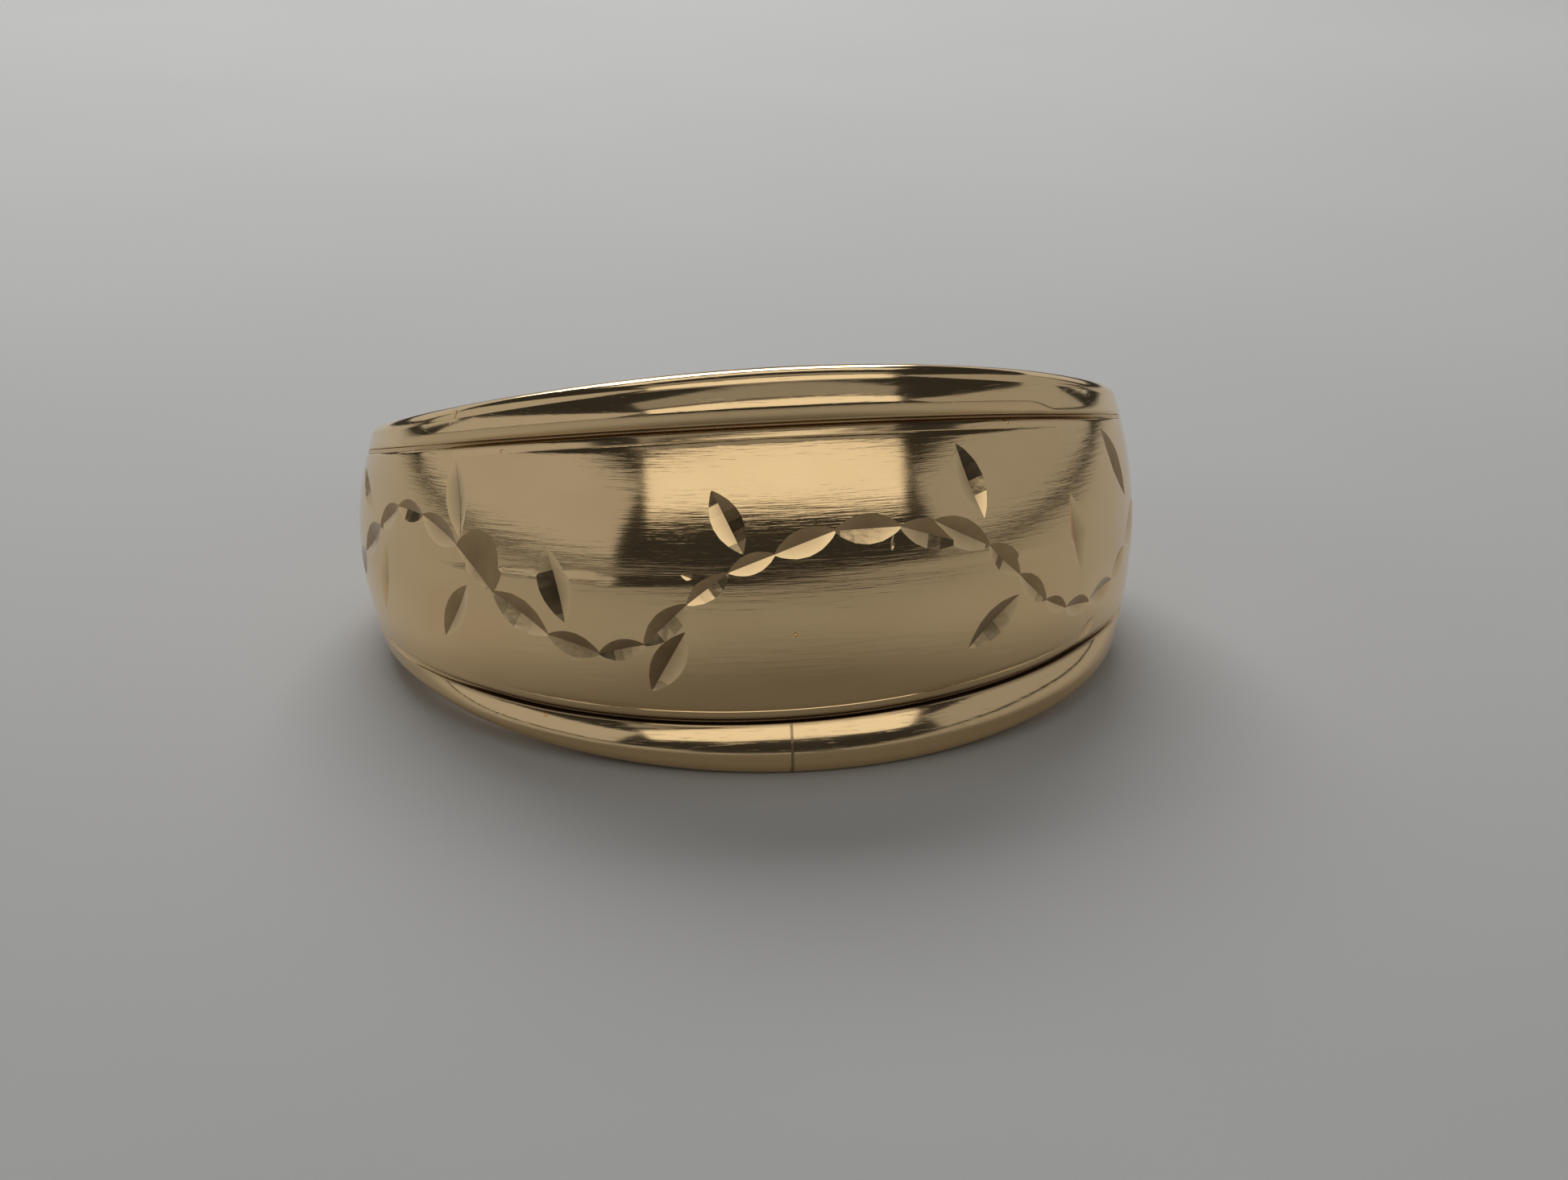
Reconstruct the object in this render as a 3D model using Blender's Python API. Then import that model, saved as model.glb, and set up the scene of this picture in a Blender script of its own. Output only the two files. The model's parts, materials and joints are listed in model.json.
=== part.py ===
"""A wide tapered wedding band: a domed, bright-cut front plate, a plain rear shank and two
raised border wires, brazed together with gold solder.

The ring lies on its side as it is set down on a table. +Z is up, the wide front faces -Y, and
the bore leans back a little because the front is wider than the back. The origin is on the
table, under the middle of the ring's box.

Ring measures: an angle runs round the bore axis from the middle of the front, positive towards
+X. A height runs along the bore axis from the band's middle plane. A radius is taken from the axis.
"""

import math

import bmesh
import bpy
from mathutils import Matrix, Vector

MM = 0.001

# Finger bore and band width
BORE_RADIUS = 8.65 * MM            # 17.3 mm bore, a US size 7
FRONT_WIDTH = 9.85 * MM
BACK_WIDTH = 3.6 * MM
WIDTH_TAPER = 1.75                 # how fast the width falls away from the front

# Wall of the band, and the dome of its front
FRONT_WALL = 1.25 * MM             # bore to the groove beside each border
BACK_WALL = 0.90 * MM              # bore to the outer corner at the back
FRONT_DOME = 0.70 * MM             # crown of the front plate above the grooves
BACK_DOME = 0.50 * MM              # crown of the rear shank above its edges
HOLLOW_DEPTH = 0.70 * MM           # how far the back of the front plate is hollowed
HOLLOW_REACH = math.radians(84)    # the hollow ends this far round

# Border wires
FRONT_BORDER = 1.28 * MM           # width of a border at the front
BACK_BORDER = 0.45 * MM
BORDER_TAPER = 2.5
BORDER_SKEW = 0.18 * MM            # the lower border runs wider on the right than on the left
BORDER_RISE = 0.17 * MM            # crest of a border above the groove
UPPER_CREST = 0.30                 # where the crest lies, from the groove (0) to the edge (1)
LOWER_CREST = 0.60
UPPER_FALL = 0.45 * MM             # from the crest to the edge: the upper border is bevelled
LOWER_FALL = 0.14 * MM             # the lower one is nearly half-round
FALL_CURVE = 1.5                   # how the skin curves down from crest to edge
STOP_START = math.radians(36)      # the upper bevel ends at a stop on the right: past it
STOP_END = math.radians(42)        # the crest lies close beside the groove
STOPPED_CREST = 0.08
EDGE_ROUND = 0.30 * MM             # outer corner of a border
BORE_ROUND_IN = 0.30 * MM          # how far a border's inner corner is rounded into the bore
BORE_ROUND_ACROSS = 0.80 * MM      # and how far across the side of the border
FADE_START = math.radians(46)      # the grooves and borders flatten into the shoulders here
FADE_END = math.radians(70)

# Solder joints
SOLDER = 0.10 * MM                 # thickness of a solder line
GROOVE_DEPTH = 0.12 * MM           # the solder lies this far below the skin beside it
BUTT_SOLDER = 0.05 * MM            # thickness of the joint across a border wire
FIT = 0.02 * MM                    # clearance between a solder joint and the metal beside it
SHOULDER = math.radians(102)       # the front plate ends here, on both sides
LOWER_BUTT = math.radians(-3)      # where the lower border wire closes
UPPER_BUTT = math.radians(180)

# The ring rests on two small flats worn on its lower edge
REST_FLAT = 0.05 * MM

# Bright cuts, all made with one wheel: each is a leaf shape with a ridge-line from tip to tip
CUT_SLOPE = 0.14                   # depth of a cut to its width
VINE_SHAPE = 0.48                  # width of a cut of the vine to its length
VINE_OVERRUN = 0.05 * MM           # each cut of the vine runs this far into the next

# The vine is cut in two runs that pass side by side near the front.
# Each point is where two cuts meet: degrees round the ring, mm of height.
VINE_RUNS = [
    [(-91.5, -1.2), (-82, -0.3), (-73.5, 0.55), (-67, 1.2), (-60, 1.12), (-52, 0.53),
     (-45, -0.53), (-36.5, -1.48), (-29, -1.88), (-22.5, -1.62), (-16.5, -0.6), (-11, 0.16),
     (-5, 0.57), (3, 1.07), (12, 1.06), (20.5, 0.56)],
    [(17, 1.12), (25.5, 0.35), (31, -0.5), (36.8, -1.3), (42, -1.65), (49, -1.71),
     (57, -1.37), (63, -0.67), (73.5, 0.25), (82, 0.95), (91, 1.25)]]

# The leaves: lower tip and upper tip (degrees, mm of height), width in mm
LEAVES = [((-76, 0.70), (-87, 1.85), 0.55), ((-51.2, 0.72), (-54, 2.62), 0.80),
          ((-33.6, -1.15), (-36.2, 0.72), 0.95), ((-9, 0.58), (-13, 2.12), 0.80),
          ((-56.2, -1.88), (-49.8, -0.42), 0.75), ((-74.5, -1.70), (-70.5, 0.35), 0.55),
          ((-22, -2.80), (-16.8, -1.28), 0.85), ((25, 1.02), (21.8, 2.90), 0.85),
          ((45.5, -0.90), (42.5, 1.28), 0.85), ((63.8, 0.66), (56.5, 2.55), 0.75),
          ((22.8, -2.20), (31.3, -1.00), 0.80), ((49, -2.75), (52.5, -2.15), 0.45)]

# Fineness of the mesh
SECTION_STEP = math.radians(6)     # angle between two sections of a loft
SKIN_POINTS = 9                    # points across the skin of a plate
BORDER_POINTS = 6                  # points across the skin of a border
CORNER_POINTS = 3                  # points round a border's corner
WHEEL_SIDES = 40                   # sides of a cutting wheel

FRONT, BACK = 0.0, math.pi


def front_share(angle, power):
    """1 at the front, 0 at the back, falling faster with a higher power."""
    return ((1 + math.cos(angle)) / 2) ** power


def smooth(t):
    """A soft step from 0 to 1 as t goes from 0 to 1."""
    t = min(max(t, 0.0), 1.0)
    return t * t * (3 - 2 * t)


def turn(angle):
    """The same direction, given between -180 and 180 degrees."""
    return (angle + math.pi) % (2 * math.pi) - math.pi


def half_width(angle):
    return (BACK_WIDTH + (FRONT_WIDTH - BACK_WIDTH) * front_share(angle, WIDTH_TAPER)) / 2


def border_width(angle, side):
    """Width of the border wire on the upper (side 1) or lower (side -1) edge."""
    width = BACK_BORDER + (FRONT_BORDER - BACK_BORDER) * front_share(angle, BORDER_TAPER)
    if side < 0 and abs(turn(angle)) < math.radians(120):
        width += BORDER_SKEW * math.sin(1.5 * turn(angle))
    return width


def border_start(angle, side):
    """Height, counted outwards from the middle plane, at which a border wire starts."""
    return half_width(angle) - border_width(angle, side)


def plate_edge(angle, side):
    """Height of the plate's or shank's edge: the solder line and its clearances lie past it."""
    return border_start(angle, side) - SOLDER - 2 * FIT


def wall(angle):
    return BACK_WALL + (FRONT_WALL - BACK_WALL) * front_share(angle, 1)


def fade(angle):
    """0 where the borders stand out, 1 where they have run out into the shank."""
    return smooth((abs(turn(angle)) - FADE_START) / (FADE_END - FADE_START))


def upper_crest(angle):
    """Where the upper border's crest lies: it steps down to the groove at the stop."""
    stopped = smooth((turn(angle) - STOP_START) / (STOP_END - STOP_START))
    return UPPER_CREST + (STOPPED_CREST - UPPER_CREST) * stopped


def skin(angle, height):
    """Radius of the ring's outer surface."""
    side = 1 if height > 0 else -1
    out = abs(height)
    start, full = border_start(angle, side), half_width(angle)
    if out < start:
        dome = FRONT_DOME * start / border_start(FRONT, side)
        front = dome * (1 - (out / start) ** 2)
    else:
        crest, fall = (LOWER_CREST, LOWER_FALL)
        if side > 0:
            crest, fall = (upper_crest(angle), UPPER_FALL)
        across = (out - start) / (full - start)
        if across < crest:
            front = BORDER_RISE * (1 - (1 - across / crest) ** 2)
        else:
            front = BORDER_RISE - fall * ((across - crest) / (1 - crest)) ** FALL_CURVE
    plain = BACK_DOME * (1 - (out / full) ** 2)
    return BORE_RADIUS + wall(angle) + front + (plain - front) * fade(angle)


def bore(angle, height):
    """Radius of the ring's inner surface: the finger bore, hollowed behind the front plate."""
    side = 1 if height > 0 else -1
    across = min(abs(height) / plate_edge(angle, side), 1.0)
    depth = HOLLOW_DEPTH * smooth(1 - abs(turn(angle)) / HOLLOW_REACH)
    return BORE_RADIUS + depth * (1 - across ** 2)


def spread(first, last, count):
    """Evenly spaced values, both ends included."""
    return [first + (last - first) * i / (count - 1) for i in range(count)]


def corner(centre, across, along, start, end):
    """Points of a rounded corner in the (radius, height) plane: a quarter of an ellipse."""
    return [(centre[0] + across * math.cos(a), centre[1] + along * math.sin(a))
            for a in spread(start, end, CORNER_POINTS + 1)]


def plate_section(angle):
    """Centre strip of the band: the front plate, its shoulder joints or the rear shank."""
    low, high = -plate_edge(angle, -1), plate_edge(angle, 1)
    heights = spread(low, high, SKIN_POINTS)
    outer = [(skin(angle, z), z) for z in heights]
    inner = [(bore(angle, z), z) for z in reversed(heights)]
    return outer + inner


def border_section(side):
    """Section of the upper or lower border wire, as a function of the angle."""
    def section(angle):
        start, full = border_start(angle, side), half_width(angle)
        width = full - start
        edge = min(EDGE_ROUND, 0.45 * width)
        shoulder = skin(angle, side * (full - edge))
        side_wall = shoulder - edge - BORE_RADIUS
        across = min(BORE_ROUND_ACROSS, 0.8 * side_wall)
        inner = min(BORE_ROUND_IN, 0.45 * width)
        outline = [(BORE_RADIUS, start)]
        outline += corner((BORE_RADIUS + across, full - inner), across, inner,
                          math.pi, math.pi / 2)
        outline += corner((shoulder - edge, full - edge), edge, edge, math.pi / 2, 0)
        outline += [(skin(angle, side * z), z)
                    for z in spread(full - edge, start, BORDER_POINTS)[1:]]
        return [(r, side * z) for r, z in outline]
    return section


def border_solder_section(side):
    """Section of the solder line between the centre strip and a border wire."""
    def section(angle):
        first = plate_edge(angle, side) + FIT
        last = first + SOLDER
        depth = GROOVE_DEPTH * (1 - fade(angle)) + FIT
        outer = skin(angle, side * last) - depth
        inner = BORE_RADIUS + FIT
        return [(r, side * z) for r, z in
                [(inner, first), (inner, last), (outer, last), (outer, first)]]
    return section


def tilted(section, angle, tilt):
    """Points of a section, leaned back by tilt about the bore's middle."""
    turned = Matrix.Rotation(-tilt, 4, "X")
    return [turned @ Vector((r * math.sin(angle), -r * math.cos(angle), z))
            for r, z in section(angle)]


def foot(angle, tilt):
    """Height of the lowest point of the lower border at this angle."""
    return min(point.z for point in tilted(border_section(-1), angle, tilt))


def lean():
    """Angle by which the bore leans back when the ring rests on its front and back edges."""
    low, high = 0.0, math.radians(45)
    for _ in range(40):
        tilt = (low + high) / 2
        if foot(FRONT, tilt) < foot(BACK, tilt):
            low = tilt
        else:
            high = tilt
    return low


def ring_place():
    """Places ring measures in the world: leaned back, standing on the table, centred."""
    tilt = lean()
    reach = [point.y for angle in (FRONT, BACK)
             for section in (plate_section, border_section(1), border_section(-1))
             for point in tilted(section, angle, tilt)]
    middle = (min(reach) + max(reach)) / 2
    return (Matrix.Translation((0, -middle, -foot(FRONT, tilt) - REST_FLAT))
            @ Matrix.Rotation(-tilt, 4, "X"))


def collection(name):
    made = bpy.data.collections.new(name)
    bpy.context.scene.collection.children.link(made)
    return made


def metal(name, colour, roughness):
    material = bpy.data.materials.new(name)
    material.use_nodes = True
    shader = material.node_tree.nodes["Principled BSDF"]
    shader.inputs["Base Color"].default_value = (*colour, 1)
    shader.inputs["Metallic"].default_value = 1.0
    shader.inputs["Roughness"].default_value = roughness
    return material


def loft(name, section, angles, material, closed=False):
    """A body through the sections at these angles; a hoop where closed, capped where not."""
    build = bmesh.new()
    loops = []
    for angle in angles:
        across = (math.sin(angle), -math.cos(angle))
        loops.append([build.verts.new((r * across[0], r * across[1], z)) for r, z in section(angle)])
    pairs = list(zip(loops, loops[1:] + loops[:1])) if closed else list(zip(loops, loops[1:]))
    for first, second in pairs:
        for i in range(len(first)):
            j = (i + 1) % len(first)
            build.faces.new((first[i], first[j], second[j], second[i]))
    if not closed:
        build.faces.new(loops[0])
        build.faces.new(loops[-1])
    bmesh.ops.recalc_face_normals(build, faces=build.faces)
    mesh = bpy.data.meshes.new(name)
    build.to_mesh(mesh)
    build.free()
    mesh.shade_smooth()
    mesh.set_sharp_from_angle(angle=math.radians(30))
    mesh.materials.append(material)
    made = bpy.data.objects.new(name, mesh)
    band.objects.link(made)
    made.parent = ring
    return made


def sections(first, last):
    """Angles of the sections from first to last."""
    count = max(2, math.ceil((last - first) / SECTION_STEP) + 1)
    return spread(first, last, count)


def hoop_sections():
    return [SECTION_STEP * i for i in range(round(2 * math.pi / SECTION_STEP))]


def on_skin(angle, height):
    """A point of the front plate's outer surface, in ring measures."""
    r = skin(angle, height)
    return Vector((r * math.sin(angle), -r * math.cos(angle), height))


def skin_normal(angle, height):
    """Outward direction of the front plate's surface."""
    step = 0.05 * MM
    turned = step / BORE_RADIUS
    round_it = on_skin(angle + turned, height) - on_skin(angle - turned, height)
    along = on_skin(angle, height + step) - on_skin(angle, height - step)
    return round_it.cross(along).normalized()


def wheel_cut(name, first, last, width):
    """Cutter for one bright cut: the rim of a double-cone wheel that dips into the skin, so it
    leaves a leaf-shaped cut with two flat facets that meet in a line from tip to tip."""
    depth = width * CUT_SLOPE
    middle = ((first[0] + last[0]) / 2, (first[1] + last[1]) / 2)
    start, end, middle_skin = on_skin(*first), on_skin(*last), on_skin(*middle)
    out = skin_normal(*middle)
    along = (end - start).normalized()
    out = (out - along * out.dot(along)).normalized()
    bulge = (middle_skin - (start + end) / 2).dot(out)
    half_length = (end - start).length / 2
    dip = max(depth - bulge, 0.2 * depth)
    radius = (half_length ** 2 + dip ** 2) / (2 * dip)
    half_thickness = radius / (2 * CUT_SLOPE)
    build = bmesh.new()
    for flip in (1, -1):
        half = bmesh.ops.create_cone(build, cap_ends=False, segments=WHEEL_SIDES, radius1=radius,
                                     radius2=0.0, depth=half_thickness)
        bmesh.ops.translate(build, verts=half["verts"], vec=(0, 0, half_thickness / 2))
        if flip < 0:
            bmesh.ops.scale(build, verts=half["verts"], vec=(1, 1, -1))
    bmesh.ops.remove_doubles(build, verts=build.verts, dist=1e-7)
    bmesh.ops.recalc_face_normals(build, faces=build.faces)
    mesh = bpy.data.meshes.new(name)
    build.to_mesh(mesh)
    build.free()
    made = bpy.data.objects.new(name, mesh)
    cutters.objects.link(made)
    made.parent = ring
    centre = middle_skin + out * (radius - depth)
    turn_to = Matrix((along, out, along.cross(out))).transposed().to_4x4()
    made.matrix_local = Matrix.Translation(centre) @ turn_to
    made.hide_render = True
    made.display_type = "WIRE"
    return made


def vine_cuts():
    """Both tips of each cut of the vine, run a little past the points where the cuts meet."""
    for run in VINE_RUNS:
        points = [Vector((math.radians(angle), height * MM)) for angle, height in run]
        for first, last in zip(points, points[1:]):
            length = (on_skin(*last) - on_skin(*first)).length
            more = (last - first) * (VINE_OVERRUN / length)
            yield first - more, last + more, length


def engrave(plate):
    """Cuts the leaves and the vine into the front plate."""
    for k, (low_tip, high_tip, width) in enumerate(LEAVES):
        tips = [(math.radians(angle), height * MM) for angle, height in (low_tip, high_tip)]
        wheel_cut(f"leaf_wheel_{k + 1}", *tips, width * MM)
    for k, (first, last, length) in enumerate(vine_cuts()):
        wheel_cut(f"vine_wheel_{k + 1}", first, last, VINE_SHAPE * length)
    cut = plate.modifiers.new("bright cuts", "BOOLEAN")
    cut.operation = "DIFFERENCE"
    cut.solver = "EXACT"
    cut.operand_type = "COLLECTION"
    cut.collection = cutters


def rest_flat(piece):
    """Takes off what lies below the table, which leaves the small flats the ring rests on."""
    cut = piece.modifiers.new("rest flat", "BOOLEAN")
    cut.operation = "DIFFERENCE"
    cut.solver = "EXACT"
    cut.object = table


for left_over in list(bpy.data.objects):
    bpy.data.objects.remove(left_over)

band = collection("wedding_band")
cutters = collection("cutting_wheels")
stand = collection("table_cutter")

ring = bpy.data.objects.new("ring_axis", None)
band.objects.link(ring)
ring.matrix_world = ring_place()

bpy.ops.mesh.primitive_cube_add(size=1, location=(0, 0, -0.0025))
table = bpy.context.active_object
table.name = "table_block"
table.scale = (0.06, 0.06, 0.005)
bpy.ops.object.transform_apply(location=False, rotation=False, scale=True)
table.hide_render = True
table.display_type = "WIRE"
for home in list(table.users_collection):
    home.objects.unlink(table)
stand.objects.link(table)

satin_gold = metal("satin_gold", (0.78, 0.58, 0.30), 0.32)
polished_gold = metal("polished_gold", (0.82, 0.62, 0.33), 0.12)
gold_solder = metal("gold_solder", (0.72, 0.55, 0.32), 0.25)

front_plate = loft("domed_front_plate", plate_section, sections(-SHOULDER, SHOULDER), satin_gold)
engrave(front_plate)

gap = FIT / BORE_RADIUS
joint = SOLDER / BORE_RADIUS
rear_start = SHOULDER + 2 * gap + joint
rear_shank = loft("rear_shank", plate_section,
                  sections(rear_start, 2 * math.pi - rear_start), polished_gold)
loft("right_shoulder_solder", plate_section,
     [SHOULDER + gap, SHOULDER + gap + joint], gold_solder)
loft("left_shoulder_solder", plate_section,
     [-SHOULDER - gap - joint, -SHOULDER - gap], gold_solder)

for word, side, butt in (("upper", 1, UPPER_BUTT), ("lower", -1, LOWER_BUTT)):
    loft(f"{word}_border_solder", border_solder_section(side), hoop_sections(), gold_solder,
         closed=True)
    half_butt = BUTT_SOLDER / BORE_RADIUS / 2
    wire_start = butt + half_butt + gap
    wire = loft(f"{word}_border_wire", border_section(side),
                sections(wire_start, wire_start + 2 * (math.pi - half_butt - gap)), polished_gold)
    filler = loft(f"{word}_border_butt_joint", border_section(side),
                  [butt - half_butt, butt + half_butt], gold_solder)
    if side < 0:
        rest_flat(wire)
        rest_flat(filler)
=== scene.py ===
"""A wide tapered wedding band in yellow gold, finished as it leaves the bench: a satin domed
front with a bright-cut vine and leaves, polished raised borders and a plain polished shank.

The ring lies on its side, front towards -Y, and its bore leans back a little, because the front
is wider than the back. Ring measures: an angle runs round the bore axis from the middle of the
front, positive towards +X. A height runs along the bore axis from the band's middle plane.
"""

import json
import math

import bmesh
import bpy
from mathutils import Matrix, Vector

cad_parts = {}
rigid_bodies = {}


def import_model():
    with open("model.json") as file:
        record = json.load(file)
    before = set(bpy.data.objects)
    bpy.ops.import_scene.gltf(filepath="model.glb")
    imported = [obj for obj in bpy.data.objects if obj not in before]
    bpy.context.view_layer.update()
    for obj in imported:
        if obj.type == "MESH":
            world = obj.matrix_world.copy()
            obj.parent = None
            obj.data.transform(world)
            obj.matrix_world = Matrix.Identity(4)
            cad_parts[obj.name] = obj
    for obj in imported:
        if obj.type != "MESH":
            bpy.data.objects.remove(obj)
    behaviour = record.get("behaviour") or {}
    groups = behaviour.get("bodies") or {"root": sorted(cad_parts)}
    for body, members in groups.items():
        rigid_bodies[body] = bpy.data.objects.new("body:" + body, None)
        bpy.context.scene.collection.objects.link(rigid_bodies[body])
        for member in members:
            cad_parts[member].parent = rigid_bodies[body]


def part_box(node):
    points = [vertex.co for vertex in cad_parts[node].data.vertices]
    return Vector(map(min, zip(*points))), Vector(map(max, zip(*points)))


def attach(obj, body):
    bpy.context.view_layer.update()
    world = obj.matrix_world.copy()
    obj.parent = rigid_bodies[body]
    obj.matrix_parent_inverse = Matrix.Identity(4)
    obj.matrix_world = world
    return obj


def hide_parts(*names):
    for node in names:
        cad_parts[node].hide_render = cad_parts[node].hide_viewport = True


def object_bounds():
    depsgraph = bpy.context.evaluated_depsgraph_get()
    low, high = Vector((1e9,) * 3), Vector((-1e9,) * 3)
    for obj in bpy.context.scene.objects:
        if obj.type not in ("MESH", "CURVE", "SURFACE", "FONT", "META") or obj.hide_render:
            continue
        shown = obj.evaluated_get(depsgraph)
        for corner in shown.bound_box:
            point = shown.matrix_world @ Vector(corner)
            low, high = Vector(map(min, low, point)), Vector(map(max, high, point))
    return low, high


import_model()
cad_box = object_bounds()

# ---------------------------------------------------------------------------------------------
# The domed front plate: gold sheet domed up, hollowed behind, and satin brushed round the ring
# with emery. The vine and its leaves are cut last with a polished diamond wheel, so each cut
# is a bright leaf shape with two flat facets that meet in a line from tip to tip.

MM = 0.001

BORE_RADIUS = 8.65 * MM
FRONT_WIDTH, BACK_WIDTH, WIDTH_TAPER = 9.85 * MM, 3.6 * MM, 1.75
FRONT_WALL, BACK_WALL = 1.25 * MM, 0.90 * MM
FRONT_DOME, BACK_DOME = 0.70 * MM, 0.50 * MM
HOLLOW_DEPTH, HOLLOW_REACH = 0.70 * MM, math.radians(84)
FRONT_BORDER, BACK_BORDER, BORDER_TAPER = 1.28 * MM, 0.45 * MM, 2.5
BORDER_SKEW, SKEW_REACH = 0.18 * MM, math.radians(120)   # the lower wire is wider on the right
FADE_START, FADE_END = math.radians(46), math.radians(70)
LEAN = math.radians(9.465)         # the bore leans back by this much
SOLDER = 0.10 * MM                 # width of a solder line
SEAM = 0.004 * MM                  # a hair between two pieces, so that each keeps its own edge
FRAME_SEAM = 0.02 * MM             # the same seam in the plain model that the ring is built round
SHOULDER = math.radians(102)       # the front plate ends here, on both sides
FRONT, BACK = 0.0, math.pi

GRIME_AND_SHADE_REACH = 0.13 * MM            # grime and painted shade lie this far up the walls of a groove
GRIME_AND_SHADE_ABOVE = 0.75 * MM            # metal nearer to the bore than this gets no grime or painted shade
UPPER_GROOVE_SHADE = 0.6                  # the upper groove is painted lighter than the lower one, as painted shade
CUT_GRIME_AND_SHADE, CUT_GRIME_AND_SHADE_DEPTH = 0.5, 0.13 * MM   # grime and painted shade in the bright cuts, at their deepest

STRIP = 0.23 * MM                  # polished strip left along the plate's edges by the border work
STRIP_FADE = 0.3                   # the satin takes over once the borders fade this much
SCORE_DEPTH = 0.018 * MM           # fine line where the satin stops against that strip
SCORE_HALF = 0.022 * MM
SCORE_END, SCORE_FADE = math.radians(50), math.radians(22)
PLATE_ROUND = 0.045 * MM           # outer corner of the plate
UNEVEN = 0.004 * MM                # the hand-worked dome isn't quite even

LEAF_SLOPE, VINE_SLOPE = 0.14, 0.12   # depth of a cut to its width
VINE_SHAPE = 0.48                  # width of a cut of the vine to its length
VINE_OVERRUN = 0.05 * MM           # each cut of the vine runs this far into the next
WHEEL_SIDES = 120
LEAST_DIP = 0.2                    # share of its depth that a cut dips below a curved skin
CUT_BEND, SKIN_BEND = math.radians(10), math.radians(32)   # edges that bend more are sharp
LOOKS_DOWN = 0.35                  # a cut this level or more has an upper facet that looks down, which gets the painted shade

# Points where two cuts of the vine meet: degrees round the ring, mm of height
VINE_RUNS = [
    [(-91.5, -1.2), (-82, -0.3), (-73.5, 0.55), (-67, 1.2), (-60, 1.12), (-52, 0.53),
     (-45, -0.53), (-36.5, -1.48), (-29, -1.88), (-22.5, -1.62), (-16.5, -0.6), (-11, 0.16),
     (-5, 0.57), (3, 1.07), (12, 1.06), (20.5, 0.56)],
    [(17, 1.12), (25.5, 0.35), (31, -0.5), (36.8, -1.3), (42, -1.65), (49, -1.71),
     (57, -1.37), (63, -0.67), (73.5, 0.25), (82, 0.95), (91, 1.25)]]

# Leaves: lower tip and upper tip (degrees, mm of height), width in mm
LEAVES = [((-76, 0.70), (-87, 1.85), 0.55), ((-51.2, 0.72), (-54, 2.62), 0.80),
          ((-33.6, -1.15), (-36.2, 0.72), 0.95), ((-9, 0.58), (-13, 2.12), 0.80),
          ((-56.2, -1.88), (-49.8, -0.42), 0.75), ((-74.5, -1.70), (-70.5, 0.35), 0.55),
          ((-22, -2.80), (-16.8, -1.28), 0.85), ((25, 1.02), (21.8, 2.90), 0.85),
          ((45.5, -0.90), (42.5, 1.28), 0.85), ((63.8, 0.66), (56.5, 2.55), 0.75),
          ((22.8, -2.20), (31.3, -1.00), 0.80), ((49, -2.75), (52.5, -2.15), 0.45)]

# Two slips of the wheel beside the vine, and three pits in the metal: degrees and mm
SLIPS = [((10.6, 0.50), (11.0, 0.88), 0.10), ((-17.3, 0.13), (-15.7, 0.02), 0.16)]
PITS = [(-2.5, -1.40, 0.055), (-44.9, 2.88, 0.050), (32.0, 3.20, 0.050)]

PLATE_STEP = math.radians(1.25)    # angle between two sections
EDGE_ROWS = [0.0, 0.004, 0.012, 0.025, 0.045, 0.10, 0.17, 0.205, 0.219, 0.23, 0.241, 0.255]
DOME_ROWS = 52
BORE_ROWS = 22


def front_share(angle, power):
    """1 at the front, 0 at the back, falling faster with a higher power."""
    return ((1 + math.cos(angle)) / 2) ** power


def smooth(t):
    """A soft step from 0 to 1 as t goes from 0 to 1."""
    t = min(max(t, 0.0), 1.0)
    return t * t * (3 - 2 * t)


def turn(angle):
    """The same direction, given between -180 and 180 degrees."""
    return (angle + math.pi) % (2 * math.pi) - math.pi


def half_width(angle):
    return (BACK_WIDTH + (FRONT_WIDTH - BACK_WIDTH) * front_share(angle, WIDTH_TAPER)) / 2


def border_width(angle, side):
    """Width of the border wire on the upper (side 1) or lower (side -1) edge."""
    width = BACK_BORDER + (FRONT_BORDER - BACK_BORDER) * front_share(angle, BORDER_TAPER)
    if side < 0 and abs(turn(angle)) < SKEW_REACH:
        width += BORDER_SKEW * math.sin(math.pi * turn(angle) / SKEW_REACH)
    return width


def border_start(angle, side):
    """Height, counted outwards from the middle plane, at which a border wire starts."""
    return half_width(angle) - border_width(angle, side)


def plate_edge(angle, side):
    return border_start(angle, side) - SOLDER - 2 * SEAM


def wall(angle):
    return BACK_WALL + (FRONT_WALL - BACK_WALL) * front_share(angle, 1)


def fade(angle):
    """0 where the borders stand out, 1 where they have run out into the shank."""
    return smooth((abs(turn(angle)) - FADE_START) / (FADE_END - FADE_START))


def plain_skin(angle, height):
    """Radius of the rear shank's skin, which the whole band runs into at the back."""
    return BORE_RADIUS + wall(angle) + BACK_DOME * (1 - (height / half_width(angle)) ** 2)


def dome_skin(angle, height):
    """Radius of the domed plate's skin."""
    side = 1 if height > 0 else -1
    start = border_start(angle, side)
    dome = FRONT_DOME * start / border_start(FRONT, side)
    front = BORE_RADIUS + wall(angle) + dome * (1 - (height / start) ** 2)
    plain = plain_skin(angle, height)
    return front + (plain - front) * fade(angle)


def unevenness(angle, height):
    """The slow waves that hammering and hand finishing leave, from -1 to 1."""
    z = height / MM
    return (math.sin(7 * angle + 0.9 * z) + math.sin(11.3 * angle - 1.7 * z + 2)
            + math.sin(4.1 * angle + 2.6 * z + 4)) / 3


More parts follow.
